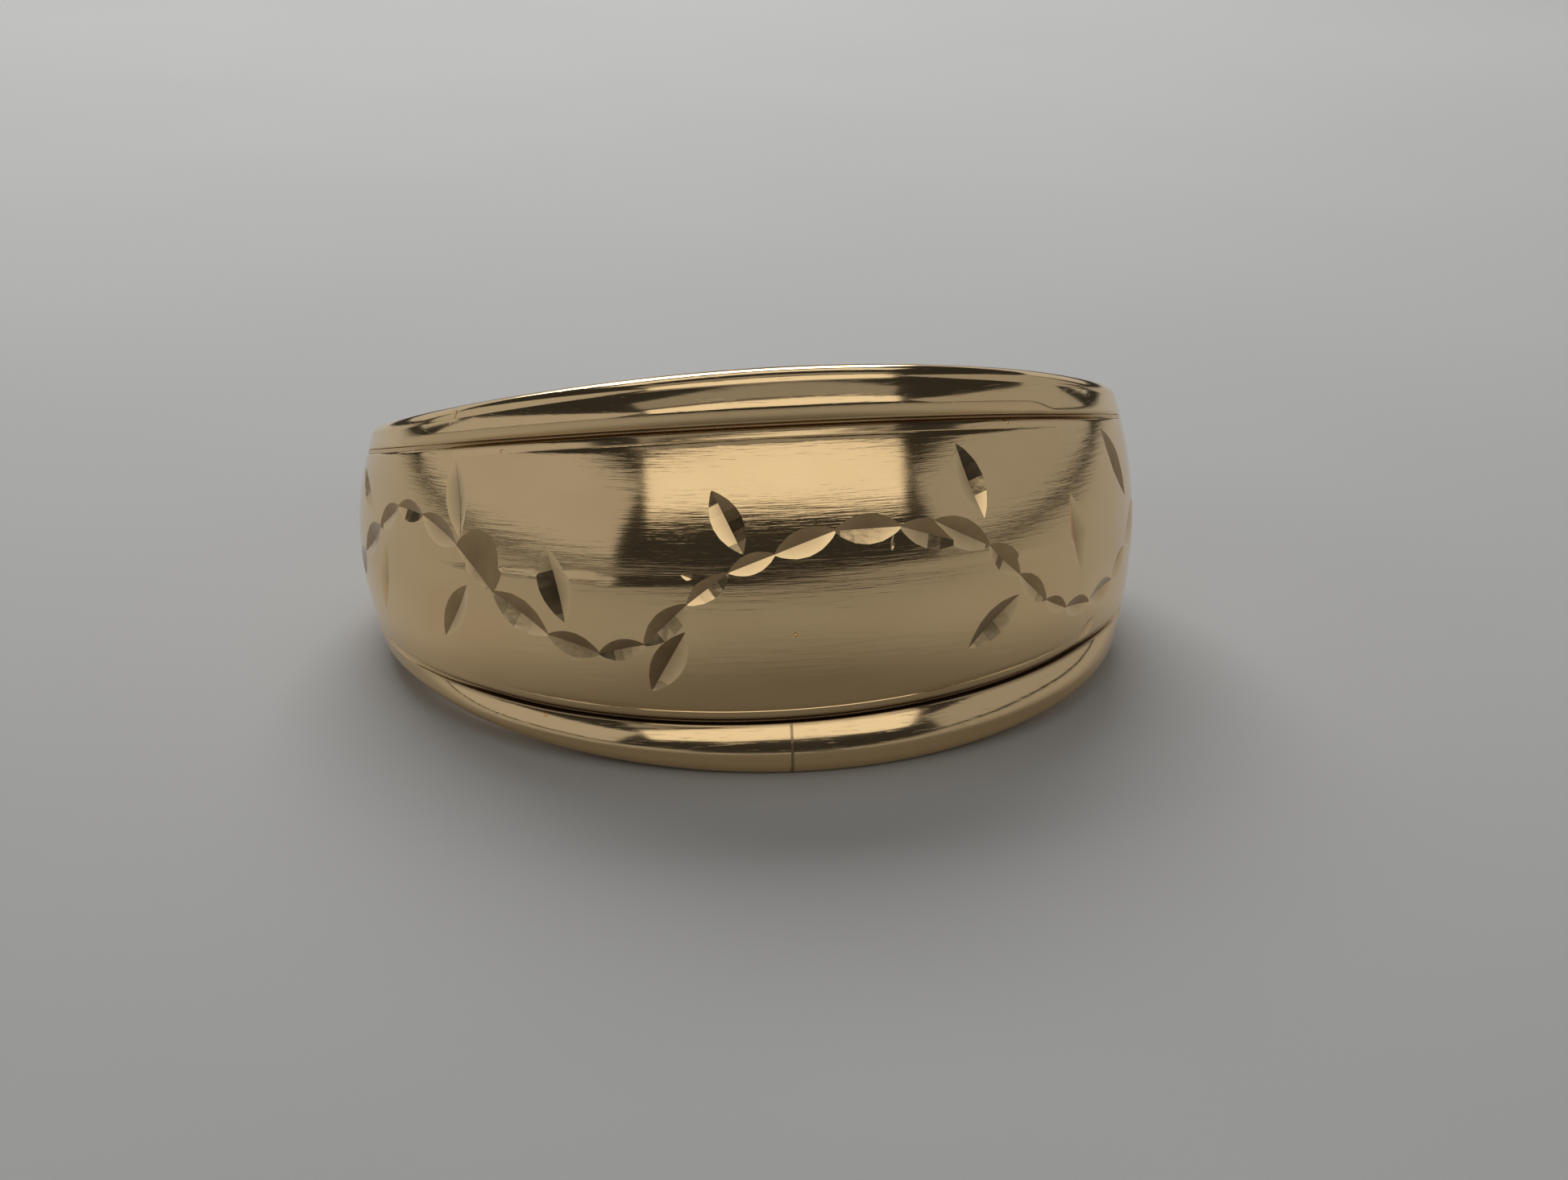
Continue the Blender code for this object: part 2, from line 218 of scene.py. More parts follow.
def plate_skin(angle, height):
    """The dome with its rounded edges and the scored line beside each polished strip."""
    side = 1 if height > 0 else -1
    inside = plate_edge(angle, side) - abs(height)
    radius = dome_skin(angle, height) + UNEVEN * unevenness(angle, height)
    if inside < PLATE_ROUND:
        missing = PLATE_ROUND - max(inside, 0.0)
        radius -= PLATE_ROUND - math.sqrt(PLATE_ROUND ** 2 - missing ** 2)
    scored = max(0.0, 1 - abs(inside - STRIP) / SCORE_HALF)
    return radius - SCORE_DEPTH * scored * smooth((SCORE_END - abs(turn(angle))) / SCORE_FADE)


def bore(angle, height):
    """Radius of the ring's inner surface: the finger bore, hollowed behind the front plate."""
    side = 1 if height > 0 else -1
    across = min(abs(height) / plate_edge(angle, side), 1.0)
    depth = HOLLOW_DEPTH * smooth(1 - abs(turn(angle)) / HOLLOW_REACH)
    return BORE_RADIUS + depth * (1 - across ** 2)


def spread(first, last, count):
    """Evenly spaced values, both ends included."""
    return [first + (last - first) * i / (count - 1) for i in range(count)]


def plate_rows(angle):
    """Heights of the points across the plate, close together by its two edges."""
    low, high = -plate_edge(angle, -1), plate_edge(angle, 1)
    near = [row * MM for row in EDGE_ROWS]
    middle = spread(low + near[-1], high - near[-1], DOME_ROWS)[1:-1]
    return [low + d for d in near] + middle + [high - d for d in reversed(near)]


def plate_section(angle):
    """Outline of the plate at an angle: its skin from bottom to top, its bore from top down."""
    low, high = -plate_edge(angle, -1), plate_edge(angle, 1)
    outer = [(plate_skin(angle, z), z) for z in plate_rows(angle)]
    inner = [(bore(angle, z), z) for z in spread(high, low, BORE_ROWS)]
    return outer + inner


def ring_point(radius, angle, height):
    return Vector((radius * math.sin(angle), -radius * math.cos(angle), height))


def loft(name, section, angles, closed=False):
    """A body through the sections at these angles; a hoop where closed, capped where not."""
    build = bmesh.new()
    loops = [[build.verts.new(ring_point(r, angle, z)) for r, z in section(angle)]
             for angle in angles]
    pairs = list(zip(loops, loops[1:] + loops[:1])) if closed else list(zip(loops, loops[1:]))
    for first, second in pairs:
        for i in range(len(first)):
            j = (i + 1) % len(first)
            build.faces.new((first[i], first[j], second[j], second[i]))
    if not closed:
        build.faces.new(loops[0])
        build.faces.new(loops[-1])
    bmesh.ops.recalc_face_normals(build, faces=build.faces)
    mesh = bpy.data.meshes.new(name)
    build.to_mesh(mesh)
    build.free()
    mesh.shade_smooth()
    mesh.set_sharp_from_angle(angle=SKIN_BEND)
    made = bpy.data.objects.new(name, mesh)
    bpy.context.scene.collection.objects.link(made)
    return made


def set_down():
    """Places ring measures in the world: leaned back, with the plate where the frame has it."""
    low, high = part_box("domed_front_plate")
    edge = border_start(FRONT, 1) - SOLDER - 2 * FRAME_SEAM
    top = dome_skin(FRONT, edge) * math.sin(LEAN) + edge * math.cos(LEAN)
    front = max(dome_skin(FRONT, z) * math.cos(LEAN) - z * math.sin(LEAN)
                for z in spread(-edge, edge, 200))
    return (Matrix.Translation((0, low.y + front, high.z - top))
            @ Matrix.Rotation(-LEAN, 4, "X"))


RING = set_down()


def mark_grime_and_shade(mesh, all_over):
    """Marks how much grime and painted shade each point gets: most in the grooves and at the foot
    of the cuts.
    """
    grime_and_shade = mesh.attributes.new("grime_and_shade", "FLOAT", "POINT")
    for vertex, mark in zip(mesh.vertices, grime_and_shade.data):
        x, y, z = vertex.co
        angle, radius = math.atan2(x, -y), math.hypot(x, y)
        side = 1 if z > 0 else -1
        if radius < BORE_RADIUS + GRIME_AND_SHADE_ABOVE:
            continue
        inside = border_start(angle, side) - SOLDER / 2 - abs(z)
        # the grooves are darkened: partly grime, partly painted shade in the crease between wire
        # and plate
        grooved = 1 - smooth((abs(inside) - SOLDER / 2) / GRIME_AND_SHADE_REACH)
        grooved *= UPPER_GROOVE_SHADE if side > 0 else 1
        mark.value = max(all_over, grooved * (1 - fade(angle)))
        # the foot of each cut is darkened: partly grime, partly painted shade in the recess
        if inside > GRIME_AND_SHADE_REACH:
            depth = plate_skin(angle, z) - radius
            mark.value = max(all_over, CUT_GRIME_AND_SHADE * smooth(depth / CUT_GRIME_AND_SHADE_DEPTH))


def finish_piece(piece, node, slot, *finishes, grime_and_shade=0.0):
    """Sets a piece in the ring, gives it its finishes and ties it to the frame."""
    for finish in finishes:
        piece.data.materials.append(finish.material)
    mark_grime_and_shade(piece.data, grime_and_shade)
    piece.data.transform(RING)
    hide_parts(node)
    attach(piece, "root")


class Finish:
    """Node tree of one metal finish, built up a step at a time."""

    def __init__(self, name, colour, roughness):
        self.material = bpy.data.materials.new(name)
        self.material.use_nodes = True
        self.tree = self.material.node_tree
        self.shader = self.tree.nodes["Principled BSDF"]
        self.shader.inputs["Base Color"].default_value = (*colour, 1)
        self.shader.inputs["Metallic"].default_value = 1.0
        self.shader.inputs["Roughness"].default_value = roughness
        stand = self.tree.nodes.new("ShaderNodeMapping")
        stand.vector_type = "TEXTURE"
        stand.inputs["Location"].default_value = RING.translation
        stand.inputs["Rotation"].default_value = RING.to_euler()
        self.tree.links.new(self.tree.nodes.new("ShaderNodeTexCoord").outputs["Object"],
                            stand.inputs["Vector"])
        self.place = stand.outputs["Vector"]
        self.relief = None

    def grain(self, size, detail=3.0, turned=(0, 0, 0), sharp=None):
        """Noise whose spots measure size (round, round, along the bore) in mm."""
        stretch = self.tree.nodes.new("ShaderNodeMapping")
        stretch.inputs["Scale"].default_value = [1 / (s * MM) for s in size]
        stretch.inputs["Rotation"].default_value = [math.radians(t) for t in turned]
        self.tree.links.new(self.place, stretch.inputs["Vector"])
        noise = self.tree.nodes.new("ShaderNodeTexNoise")
        noise.inputs["Scale"].default_value = 1.0
        noise.inputs["Detail"].default_value = detail
        self.tree.links.new(stretch.outputs["Vector"], noise.inputs["Vector"])
        if sharp is None:
            return noise.outputs["Fac"]
        ramp = self.tree.nodes.new("ShaderNodeMapRange")
        ramp.inputs["From Min"].default_value, ramp.inputs["From Max"].default_value = sharp
        self.tree.links.new(noise.outputs["Fac"], ramp.inputs["Value"])
        return ramp.outputs["Result"]

    def raise_by(self, height, depth):
        """Adds a relief whose full height is depth."""
        bump = self.tree.nodes.new("ShaderNodeBump")
        bump.inputs["Distance"].default_value = depth
        bump.inputs["Strength"].default_value = 1.0
        self.tree.links.new(height, bump.inputs["Height"])
        if self.relief is not None:
            self.tree.links.new(self.relief, bump.inputs["Normal"])
        self.relief = bump.outputs["Normal"]
        self.tree.links.new(self.relief, self.shader.inputs["Normal"])

    def vary_colour(self, amount, first, second):
        """Mixes two colours by the amount, and darkens them where there is grime and painted
        shade.
        """
        mix = self.tree.nodes.new("ShaderNodeMix")
        mix.data_type = "RGBA"
        mix.inputs["A"].default_value = (*first, 1)
        mix.inputs["B"].default_value = (*second, 1)
        self.tree.links.new(amount, mix.inputs["Factor"])
        grime_and_shade = self.tree.nodes.new("ShaderNodeAttribute")
        grime_and_shade.attribute_name = "grime_and_shade"
        over = self.tree.nodes.new("ShaderNodeMix")
        over.data_type = "RGBA"
        over.inputs["B"].default_value = (*GRIME_AND_SHADE, 1)
        self.tree.links.new(mix.outputs["Result"], over.inputs["A"])
        self.tree.links.new(grime_and_shade.outputs["Fac"], over.inputs["Factor"])
        self.tree.links.new(over.outputs["Result"], self.shader.inputs["Base Color"])

    def vary_roughness(self, amount, smoothest, roughest):
        span = self.tree.nodes.new("ShaderNodeMapRange")
        span.inputs["To Min"].default_value = smoothest
        span.inputs["To Max"].default_value = roughest
        self.tree.links.new(amount, span.inputs["Value"])
        self.tree.links.new(span.outputs["Result"], self.shader.inputs["Roughness"])


GOLD = (0.86, 0.62, 0.34)
WORN_GOLD = (0.79, 0.56, 0.30)
BRIGHT_GOLD = (0.90, 0.67, 0.38)
# Darker golds for the cut facets that look down: painted shade
SHADED_GOLD, DEEP_SHADED_GOLD = (0.52, 0.36, 0.19), (0.30, 0.20, 0.10)
# Colour of the grime and painted shade in the grooves and cuts
GRIME_AND_SHADE = (0.20, 0.13, 0.07)

satin = Finish("satin_gold", GOLD, 0.16)
satin.vary_colour(satin.grain((2.5, 2.5, 1.2), detail=4), WORN_GOLD, BRIGHT_GOLD)
satin.vary_roughness(satin.grain((1.5, 1.5, 0.35)), 0.06, 0.14)
satin.raise_by(satin.grain((1.7, 1.7, 0.11), detail=5), 0.0048 * MM)
satin.raise_by(satin.grain((0.9, 0.9, 0.028), detail=2), 0.0018 * MM)

cut_facet = Finish("bright_cut_gold", BRIGHT_GOLD, 0.06)
cut_facet.vary_colour(cut_facet.grain((0.6, 0.6, 0.6)), GOLD, BRIGHT_GOLD)
cut_facet.vary_roughness(cut_facet.grain((0.25, 0.25, 0.25)), 0.09, 0.18)
cut_facet.raise_by(cut_facet.grain((0.35, 0.35, 0.35), detail=2), 0.004 * MM)

# The cut facets that look down: rougher, and painted darker as painted shade
shaded_facet = Finish("shaded_cut_gold", WORN_GOLD, 0.12)
shaded_facet.vary_colour(shaded_facet.grain((0.6, 0.6, 0.6)), DEEP_SHADED_GOLD, SHADED_GOLD)
shaded_facet.vary_roughness(shaded_facet.grain((0.25, 0.25, 0.25)), 0.10, 0.22)
shaded_facet.raise_by(shaded_facet.grain((0.35, 0.35, 0.35), detail=2), 0.004 * MM)

bore_polish = Finish("bore_gold", GOLD, 0.14)
bore_polish.vary_colour(bore_polish.grain((2, 2, 1)), WORN_GOLD, GOLD)
bore_polish.vary_roughness(bore_polish.grain((2.0, 2.0, 0.4)), 0.10, 0.24)
bore_polish.raise_by(bore_polish.grain((2.0, 2.0, 0.06), detail=4), 0.002 * MM)

polished = Finish("polished_gold", GOLD, 0.10)
polished.vary_colour(polished.grain((3, 3, 3)), GOLD, BRIGHT_GOLD)
polished.vary_roughness(polished.grain((1.2, 1.2, 0.5)), 0.06, 0.15)
polished.raise_by(polished.grain((2.5, 2.5, 0.15), detail=3), 0.0015 * MM)
polished.raise_by(polished.grain((0.8, 0.8, 0.03), turned=(18, 0, 0), sharp=(0.62, 0.72)),
                  0.0006 * MM)

PLATE_FINISHES = (satin, cut_facet, shaded_facet, bore_polish, polished)
SATIN_FACE, CUT_FACE, SHADED_FACE, BORE_FACE, STRIP_FACE = range(5)

plate = loft("fine_front_plate", plate_section,
             spread(-SHOULDER, SHOULDER, round(2 * SHOULDER / PLATE_STEP) + 1))
for face in plate.data.polygons:
    x, y, z = face.center
    round_it = math.atan2(x, -y)
    if math.hypot(x, y) < BORE_RADIUS + HOLLOW_DEPTH:
        face.material_index = BORE_FACE
    elif (plate_edge(round_it, 1 if z > 0 else -1) - abs(z) < STRIP
          and fade(round_it) < STRIP_FADE):
        face.material_index = STRIP_FACE


def on_dome(angle, height):
    return ring_point(dome_skin(angle, height), angle, height)


def outward(point, angle, height):
    """Outward direction of a skin, whose points are given by a function."""
    step = 0.05 * MM
    turned = step / BORE_RADIUS
    round_it = point(angle + turned, height) - point(angle - turned, height)
    along = point(angle, height + step) - point(angle, height - step)
    return round_it.cross(along).normalized()


def cutter(mesh_build):
    """Puts a cutter's mesh among the wheels. What it cuts takes the finish of its faces."""
    mesh = bpy.data.meshes.new("wheel")
    mesh_build.to_mesh(mesh)
    mesh_build.free()
    for finish in PLATE_FINISHES[:3]:
        mesh.materials.append(finish.material)
    made = bpy.data.objects.new("wheel", mesh)
    wheels.objects.link(made)
    return made


def pit(angle, height, radius, point=on_dome):
    """A round pit in the skin."""
    build = bmesh.new()
    bmesh.ops.create_icosphere(build, subdivisions=2, radius=radius)
    for face in build.faces:
        face.material_index = CUT_FACE
    cutter(build).matrix_world = Matrix.Translation(point(angle, height))


def wheel_cut(first, last, width, slope=LEAF_SLOPE, point=on_dome):
    """Cutter for one bright cut: the rim of a double-cone wheel that dips into the skin.
    The facet that looks down is rougher and painted darker, as painted shade."""
    depth = width * slope
    middle = ((first[0] + last[0]) / 2, (first[1] + last[1]) / 2)
    start, end, middle_skin = point(*first), point(*last), point(*middle)
    out = outward(point, *middle)
    along = (end - start).normalized()
    out = (out - along * out.dot(along)).normalized()
    bulge = (middle_skin - (start + end) / 2).dot(out)
    half_length = (end - start).length / 2
    dip = max(depth - bulge, LEAST_DIP * depth)
    radius = (half_length ** 2 + dip ** 2) / (2 * dip)
    half_thickness = radius / (2 * slope)
    across = along.cross(out)
    build = bmesh.new()
    for flip in (1, -1):
        half = bmesh.ops.create_cone(build, cap_ends=False, segments=WHEEL_SIDES, radius1=radius,
                                     radius2=0.0, depth=half_thickness)
        bmesh.ops.translate(build, verts=half["verts"], vec=(0, 0, half_thickness / 2))
        bmesh.ops.scale(build, verts=half["verts"], vec=(1, 1, flip))
        # a facet that looks down gets the finish with the painted shade
        facet = SHADED_FACE if flip * across.z > LOOKS_DOWN else CUT_FACE
        for vertex in half["verts"]:
            for face in vertex.link_faces:
                face.material_index = facet
    bmesh.ops.remove_doubles(build, verts=build.verts, dist=1e-7)
    bmesh.ops.recalc_face_normals(build, faces=build.faces)
    centre = middle_skin + out * (radius - depth)
    turn_to = Matrix((along, out, across)).transposed().to_4x4()
    cutter(build).matrix_world = Matrix.Translation(centre) @ turn_to


def crisp_cuts(mesh):
    """Marks the edges round and inside the cuts as sharp, and leaves the brushed skin smooth."""
    build = bmesh.new()
    build.from_mesh(mesh)
    for edge in build.edges:
        if len(edge.link_faces) != 2:
            continue
        one, other = (face.material_index in (CUT_FACE, SHADED_FACE) for face in edge.link_faces)
        bend = edge.calc_face_angle(0)
        if one and other:
            edge.smooth = bend < CUT_BEND
        elif one or other:
            edge.smooth = False
        else:
            edge.smooth = bend < SKIN_BEND
    build.to_mesh(mesh)
    build.free()


def cut_with_wheels(piece):
    """Cuts the piece with all the wheels, keeps the result as its mesh and clears the wheels."""
    cut = piece.modifiers.new("cuts", "BOOLEAN")
    cut.operation = "DIFFERENCE"
    cut.solver = "MANIFOLD"
    cut.operand_type = "COLLECTION"
    cut.collection = wheels
    graph = bpy.context.evaluated_depsgraph_get()
    mesh = bpy.data.meshes.new_from_object(piece.evaluated_get(graph))
    piece.modifiers.clear()
    piece.data = mesh
    for wheel in list(wheels.objects):
        bpy.data.objects.remove(wheel)
    crisp_cuts(mesh)


wheels = bpy.data.collections.new("cutting_wheels")
bpy.context.scene.collection.children.link(wheels)
for low_tip, high_tip, width in LEAVES:
    tips = [(math.radians(angle), height * MM) for angle, height in (low_tip, high_tip)]
    wheel_cut(*tips, width * MM)
for run in VINE_RUNS:
    points = [Vector((math.radians(angle), height * MM)) for angle, height in run]
    for first, last in zip(points, points[1:]):
        length = (on_dome(*last) - on_dome(*first)).length
        more = (last - first) * (VINE_OVERRUN / length)
        wheel_cut(first - more, last + more, VINE_SHAPE * length, VINE_SLOPE)
for first, last, width in SLIPS:
    tips = [(math.radians(angle), height * MM) for angle, height in (first, last)]
    wheel_cut(*tips, width * MM)
for angle, height, radius in PITS:
    pit(math.radians(angle), height * MM, radius * MM)
for finish in PLATE_FINISHES:
    plate.data.materials.append(finish.material)
cut_with_wheels(plate)
finish_piece(plate, "domed_front_plate", "satin_gold")

# ---------------------------------------------------------------------------------------------
# The rear shank: half-round gold bar bent to the finger, filed to meet the front plate at the
# shoulders, and polished plain. Everyday wear leaves fine scratches on it.

SHANK_STEP = math.radians(2)
SHANK_ROWS, SHANK_BORE_ROWS = 40, 12


def shank_section(angle):
    low, high = -plate_edge(angle, -1), plate_edge(angle, 1)
    outer = [(dome_skin(angle, z), z) for z in spread(low, high, SHANK_ROWS)]
    inner = [(bore(angle, z), z) for z in spread(high, low, SHANK_BORE_ROWS)]
    return outer + inner


def seam_angle(width):
    """Angle that a width takes up on the bore."""
    return width / BORE_RADIUS


rear_start = SHOULDER + seam_angle(2 * SEAM + SOLDER)
shank = loft("fine_shank", shank_section,
             spread(rear_start, 2 * math.pi - rear_start,
                    round((2 * math.pi - 2 * rear_start) / SHANK_STEP) + 1))
finish_piece(shank, "rear_shank", "polished_gold", polished)

# ---------------------------------------------------------------------------------------------
# The shoulder joints: gold solder that ran into the two butted seams between front plate and
# shank. They are filed flush, so that only a slightly paler line shows.

solder = Finish("gold_solder", (0.80, 0.62, 0.40), 0.22)
solder.vary_colour(solder.grain((0.3, 0.3, 0.3)), (0.66, 0.50, 0.32), (0.84, 0.66, 0.44))
solder.vary_roughness(solder.grain((0.2, 0.2, 0.2)), 0.16, 0.34)
solder.raise_by(solder.grain((0.15, 0.15, 0.15)), 0.004 * MM)

JOINT_SECTIONS = 4

for word, side in (("right", 1), ("left", -1)):
    near = SHOULDER + seam_angle(SEAM)
    far = near + seam_angle(SOLDER)
    joint = loft(f"fine_{word}_shoulder_solder", shank_section,
                 sorted(side * a for a in spread(near, far, JOINT_SECTIONS)))
    finish_piece(joint, f"{word}_shoulder_solder", "gold_solder", solder)

# ---------------------------------------------------------------------------------------------
# The border wires: two hoops of drawn gold wire laid along the edges, soldered down and
# polished. The upper one is filed to a bevel as far as a stop on the right, and the lower one
# is left nearly half-round. Both are rubbed flat into the shank at the back.

BORDER_RISE = 0.17 * MM
UPPER_CREST, UPPER_FALL = 0.30, 0.45 * MM
LOWER_CREST, LOWER_FALL = 0.60, 0.14 * MM
FALL_CURVE = 1.5
STOP_START, STOP_END = math.radians(36), math.radians(42)
STOPPED_CREST = 0.08               # past the stop the bevel reaches down to the groove
MOST_WIDTH, MOST_WALL = 0.45, 0.8  # share of the wire that a rounding may take
EDGE_ROUND = 0.30 * MM
BORE_ROUND_IN, BORE_ROUND_ACROSS = 0.30 * MM, 0.80 * MM
WIRE_ROUND = 0.05 * MM             # corner of the wire beside the groove
BORDER_UNEVEN = 0.006 * MM
NICK = ((-55.5, 3.36), (-55.0, 3.62), 0.09)   # in the upper wire: degrees, mm, width in mm
LOWER_PIT = (-38.9, -3.58, 0.05)              # in the lower wire
BUTT_SOLDER = 0.05 * MM
LOWER_BUTT, UPPER_BUTT = math.radians(-3), math.radians(180)
WIRE_STEP = math.radians(1)
WIRE_ROWS = 36
CORNER_ROWS = 9


def border_skin(angle, out, side):
    """Radius of a border wire's skin, a distance out from the middle plane."""
    start, full = border_start(angle, side), half_width(angle)
    crest, fall = (UPPER_CREST, UPPER_FALL) if side > 0 else (LOWER_CREST, LOWER_FALL)
    if side > 0:
        stopped = smooth((turn(angle) - STOP_START) / (STOP_END - STOP_START))
        crest += (STOPPED_CREST - crest) * stopped
    across = (out - start) / (full - start)
    if across < crest:
        front = BORDER_RISE * (1 - (1 - across / crest) ** 2)
    else:
        front = BORDER_RISE - fall * ((across - crest) / (1 - crest)) ** FALL_CURVE
    front += BORE_RADIUS + wall(angle)
    front += BORDER_UNEVEN * unevenness(1.7 * angle, 1.3 * out) * (1 - fade(angle))
    plain = plain_skin(angle, out)
    return front + (plain - front) * fade(angle)


def on_wire(angle, height):
    return ring_point(border_skin(angle, abs(height), 1 if height > 0 else -1), angle, height)


def corner(centre, across, along, start, end):
    """Points of a rounded corner in the (radius, height) plane: a quarter of an ellipse."""
    return [(centre[0] + across * math.cos(a), centre[1] + along * math.sin(a))
            for a in spread(start, end, CORNER_ROWS)]


def wire_section(side):
    """Section of the upper or lower border wire, as a function of the angle."""
    def section(angle):
        start, full = border_start(angle, side), half_width(angle)
        width = full - start
        edge = min(EDGE_ROUND, MOST_WIDTH * width)
        shoulder = border_skin(angle, full - edge, side)
        across = min(BORE_ROUND_ACROSS, MOST_WALL * (shoulder - edge - BORE_RADIUS))
        inner = min(BORE_ROUND_IN, MOST_WIDTH * width)
        outline = [(BORE_RADIUS, start), (BORE_RADIUS, (start + full - inner) / 2)]
        outline += corner((BORE_RADIUS + across, full - inner), across, inner,
                          math.pi, math.pi / 2)
        outline += corner((shoulder - edge, full - edge), edge, edge, math.pi / 2, 0)
        rows = spread(full - edge, start + WIRE_ROUND, WIRE_ROWS)[1:]
        outline += [(border_skin(angle, z, side), z) for z in rows]
        lip = border_skin(angle, start + WIRE_ROUND, side)
        outline += corner((lip - WIRE_ROUND, start + WIRE_ROUND), WIRE_ROUND, WIRE_ROUND,
                          0, -math.pi / 2)[1:]
        return [(r, side * z) for r, z in outline]
    return section


def stand_flat(piece):
    """The lowest part of the border is worn to two small flats, on which the ring rests."""
    up = RING.inverted()
    for vertex in piece.data.vertices:
        world = RING @ vertex.co
        if world.z < 0:
            vertex.co = up @ Vector((world.x, world.y, 0))


half_butt = seam_angle(BUTT_SOLDER) / 2
for word, side, butt in (("upper", 1, UPPER_BUTT), ("lower", -1, LOWER_BUTT)):
    wire_start = butt + half_butt + seam_angle(SEAM)
    wire_end = wire_start + 2 * (math.pi - half_butt - seam_angle(SEAM))
    wire = loft(f"fine_{word}_border_wire", wire_section(side),
                spread(wire_start, wire_end, round(2 * math.pi / WIRE_STEP) + 1))
    for finish in (polished, cut_facet, shaded_facet):
        wire.data.materials.append(finish.material)
    if side > 0:
        nick_tips = [(math.radians(angle), height * MM) for angle, height in NICK[:2]]
        wheel_cut(*nick_tips, NICK[2] * MM, point=on_wire)
    else:
        pit(math.radians(LOWER_PIT[0]), LOWER_PIT[1] * MM, LOWER_PIT[2] * MM, on_wire)
    cut_with_wheels(wire)
    if side < 0:
        stand_flat(wire)
    finish_piece(wire, f"{word}_border_wire", "polished_gold")

# ---------------------------------------------------------------------------------------------
# The border solder: gold solder drawn round the ring between each wire and the plate. At the
# front it lies low, in a narrow groove that holds a little dirt and painted shade, and it is flush
# at the back.

GROOVE_DEPTH, BACK_DEPTH = 0.12 * MM, 0.01 * MM
CREEP = 0.03 * MM                  # solder creeps this far up both walls of the groove
LINE_ROWS, LINE_SECTIONS = 7, 240

groove_metal = Finish("groove_solder", GOLD, 0.30)
groove_metal.vary_colour(groove_metal.grain((0.8, 0.8, 0.3)), WORN_GOLD, GOLD)
groove_metal.vary_roughness(groove_metal.grain((0.3, 0.3, 0.1)), 0.12, 0.4)


def solder_section(side):
    """Section of the solder line, whose top is a little hollow."""
    def section(angle):
        first = plate_edge(angle, side) + SEAM
        last = first + SOLDER
        depth = GROOVE_DEPTH * (1 - fade(angle)) + BACK_DEPTH
        creep = CREEP * (1 - fade(angle))
        top = min(dome_skin(angle, side * first), border_skin(angle, last + SEAM, side))
        outer = [(top - depth + creep * (2 * t - 1) ** 2, first + SOLDER * t)
                 for t in spread(1, 0, LINE_ROWS)]
        return [(r, side * z) for r, z in
                [(BORE_RADIUS, first), (BORE_RADIUS, last)] + outer]
    return section


for word, side in (("upper", 1), ("lower", -1)):
    line = loft(f"fine_{word}_border_solder", solder_section(side),
                spread(0, 2 * math.pi, LINE_SECTIONS + 1)[:-1], closed=True)
    finish_piece(line, f"{word}_border_solder", "gold_solder", groove_metal)

# ---------------------------------------------------------------------------------------------
# The butt joints: each border wire is one length bent into a hoop, and its two ends are closed
# with a film of solder. The lower joint shows as a hairline near the front.

BUTT_SECTIONS = 3
BUTT_GRIME = 0.6

for word, side, butt in (("upper", 1, UPPER_BUTT), ("lower", -1, LOWER_BUTT)):
    film = loft(f"fine_{word}_butt_joint", wire_section(side),
                spread(butt - half_butt, butt + half_butt, BUTT_SECTIONS))
    if side < 0:
        stand_flat(film)
    finish_piece(film, f"{word}_border_butt_joint", "gold_solder", groove_metal, grime_and_shade=BUTT_GRIME)

# ---------------------------------------------------------------------------------------------
# The table: a wide sheet of matt pale grey board. The ring lies on it.

TABLE_SIZE = 2.4
DARKER_BOARD, PALER_BOARD = (0.51, 0.51, 0.505, 1), (0.55, 0.55, 0.545, 1)

board = bpy.data.materials.new("pale_board")
board.use_nodes = True
tree = board.node_tree
paint = tree.nodes["Principled BSDF"]
paint.inputs["Roughness"].default_value = 0.85
paint.inputs["Specular IOR Level"].default_value = 0.2
mottle = tree.nodes.new("ShaderNodeTexNoise")
mottle.inputs["Scale"].default_value = 60
tint = tree.nodes.new("ShaderNodeMix")
tint.data_type = "RGBA"
tint.inputs["A"].default_value = DARKER_BOARD
tint.inputs["B"].default_value = PALER_BOARD
tree.links.new(tree.nodes.new("ShaderNodeTexCoord").outputs["Object"], mottle.inputs["Vector"])
tree.links.new(mottle.outputs["Fac"], tint.inputs["Factor"])
tree.links.new(tint.outputs["Result"], paint.inputs["Base Color"])

bpy.ops.mesh.primitive_grid_add(x_subdivisions=4, y_subdivisions=4, size=TABLE_SIZE)
table = bpy.context.active_object
table.name = "table"
table.data.materials.append(board)

# ---------------------------------------------------------------------------------------------
# The lights: soft panels that stand round the ring like a light tent, with dark gaps between
# them, because polished gold only reads as gold against something dark. The main light is
# above and behind, and throws the ring's soft shadow forwards.

ring_middle = (cad_box[0] + cad_box[1]) / 2


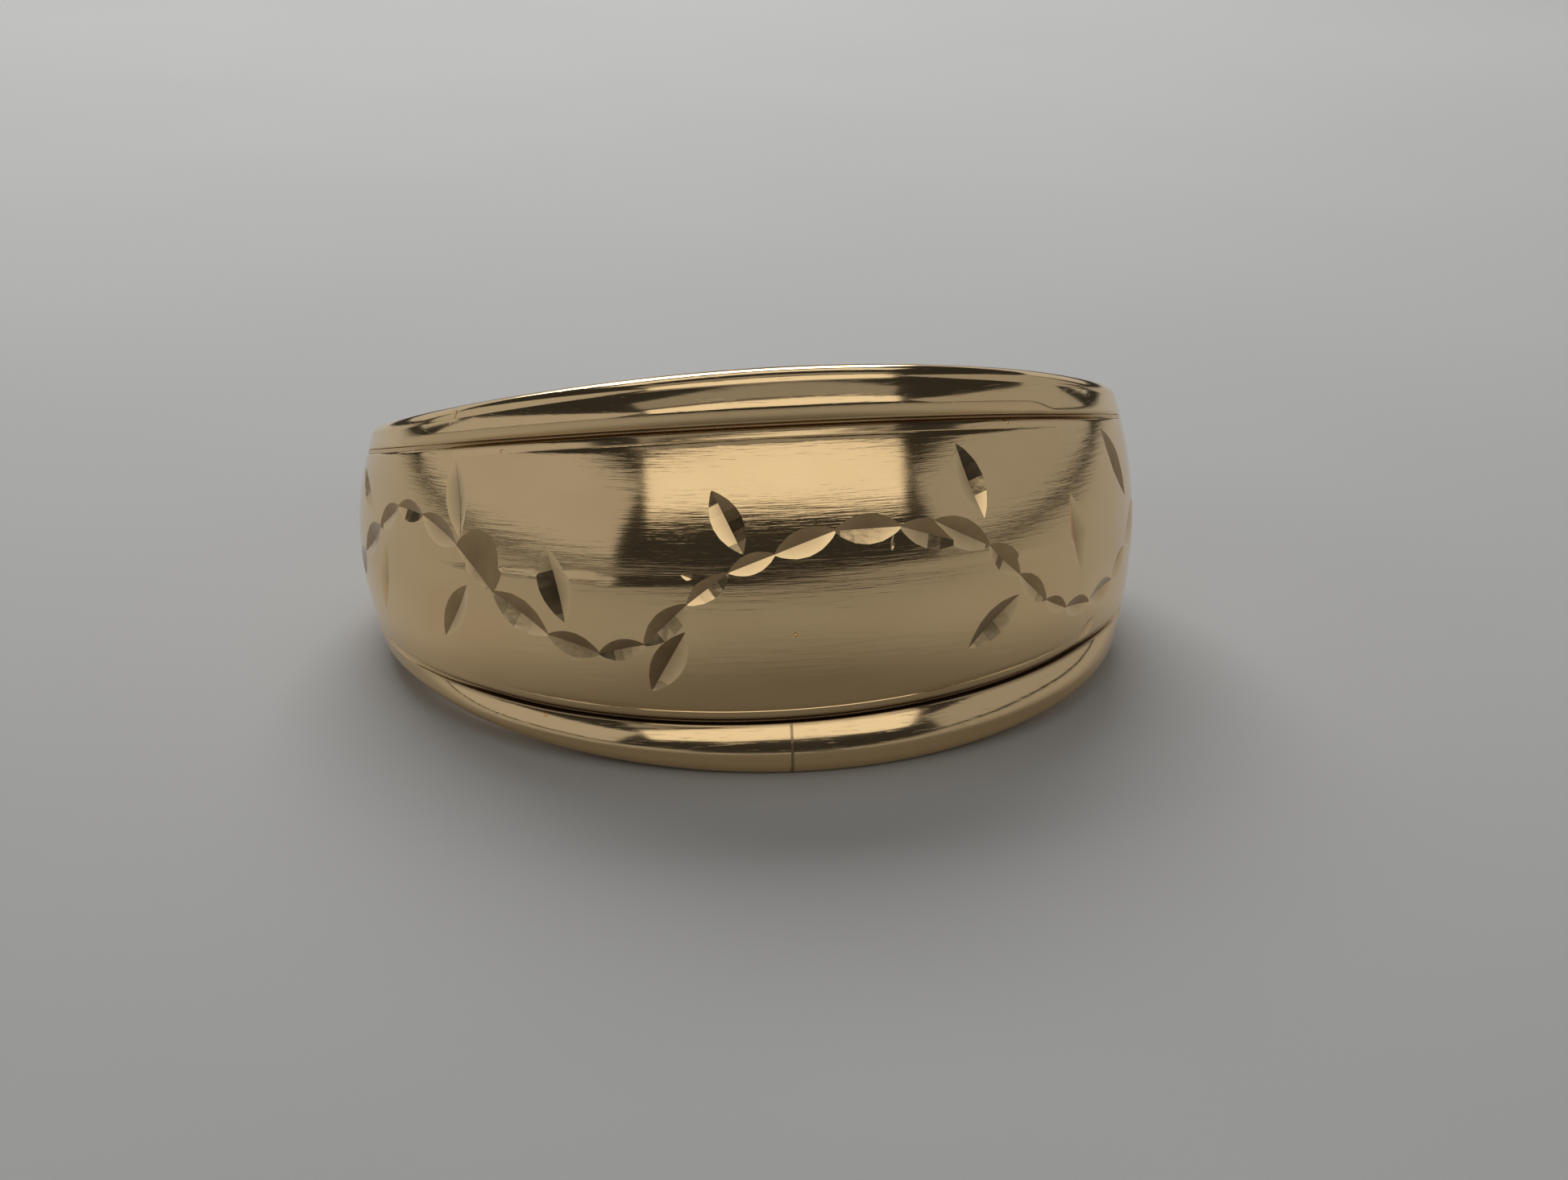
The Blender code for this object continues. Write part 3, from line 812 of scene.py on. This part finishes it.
def panel(name, azimuth, elevation, distance, width, height, brightness, tone=(1, 1, 1)):
    """A soft panel that faces the ring. Azimuth 0 is in front, 90 to the right."""
    a, e = math.radians(azimuth), math.radians(elevation)
    back = Vector((math.sin(a) * math.cos(e), -math.cos(a) * math.cos(e), math.sin(e)))
    lamp = bpy.data.lights.new(name, "AREA")
    lamp.shape = "RECTANGLE"
    lamp.size = width
    lamp.size_y = height
    lamp.energy = brightness * width * height * math.pi
    lamp.color = tone
    made = bpy.data.objects.new(name, lamp)
    bpy.context.scene.collection.objects.link(made)
    made.location = ring_middle + back * distance
    made.rotation_mode = "QUATERNION"
    made.rotation_quaternion = back.to_track_quat("Z", "Y")
    made.visible_camera = False
    return made


panel("front_panel", 0, 30.5, 0.40, 0.62, 0.155, 0.88, tone=(1.0, 0.97, 0.90))
panel("upper_front_panel", -2, 54, 0.40, 0.60, 0.13, 0.24)
panel("left_panel", -84, 17, 0.40, 0.60, 0.22, 0.38)
panel("right_panel", 84, 15, 0.40, 0.60, 0.19, 0.30)
panel("back_panel", 180, 20, 0.40, 1.00, 0.18, 0.45)
panel("top_panel", 180, 82, 0.25, 0.30, 0.09, 0.85)
panel("main_light", 180, 45, 0.184, 0.14, 0.10, 4.8)

world = bpy.data.worlds.new("dark_room")
bpy.context.scene.world = world
world.use_nodes = True
world.node_tree.nodes["Background"].inputs["Color"].default_value = (0.03, 0.03, 0.03, 1)

# ---------------------------------------------------------------------------------------------
# The camera: a long lens close to the ring, a little above it and to the left.

CAMERA_AZIMUTH = math.radians(-9.57)
CAMERA_ELEVATION = math.radians(19.34)
CAMERA_ROLL = math.radians(-0.155)
CAMERA_PLACE = Vector((-14.35, -90.48, 33.34)) * MM
LENS = 83.25

camera = bpy.data.cameras.new("camera")
camera.sensor_width = 36
camera.lens = LENS
camera.clip_start = 0.01
camera.clip_end = 10
eye = bpy.data.objects.new("camera", camera)
bpy.context.scene.collection.objects.link(eye)
eye.location = CAMERA_PLACE
eye.rotation_euler = (math.pi / 2 - CAMERA_ELEVATION, CAMERA_ROLL, CAMERA_AZIMUTH)
bpy.context.scene.camera = eye
bpy.context.scene.view_settings.view_transform = "Standard"
